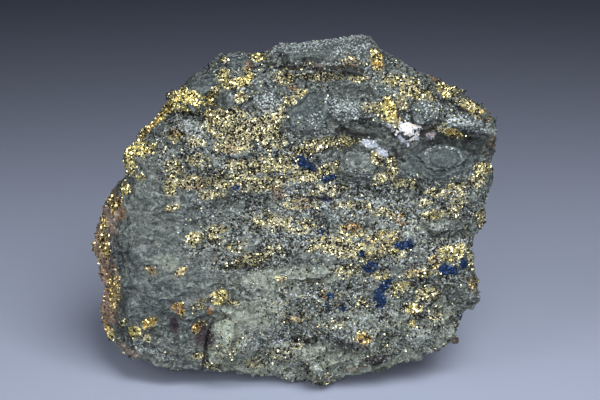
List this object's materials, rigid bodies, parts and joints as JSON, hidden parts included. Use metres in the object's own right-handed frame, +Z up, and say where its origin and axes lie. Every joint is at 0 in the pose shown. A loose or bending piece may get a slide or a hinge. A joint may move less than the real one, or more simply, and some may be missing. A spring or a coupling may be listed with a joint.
{
  "type": "chalcopyrite ore specimen",
  "caption": "Hand-size broken block of green-grey chlorite schist with brassy chalcopyrite grown through it, stepped and hackly, standing on its rough underside.",
  "frame": {"origin": "middle of the ground that the stone's box covers", "axes": "+X along the stone's width as seen from the front, +Y from the broken show face to the back, +Z up"},
  "size_m": [0.12, 0.0578, 0.1011],
  "materials": {
    "ore_rock": "broken chlorite schist with brassy chalcopyrite grains, rough"
  },
  "bodies": {
    "root": {"chalcopyrite_ore": "ore_rock"}
  },
  "joints": []
}
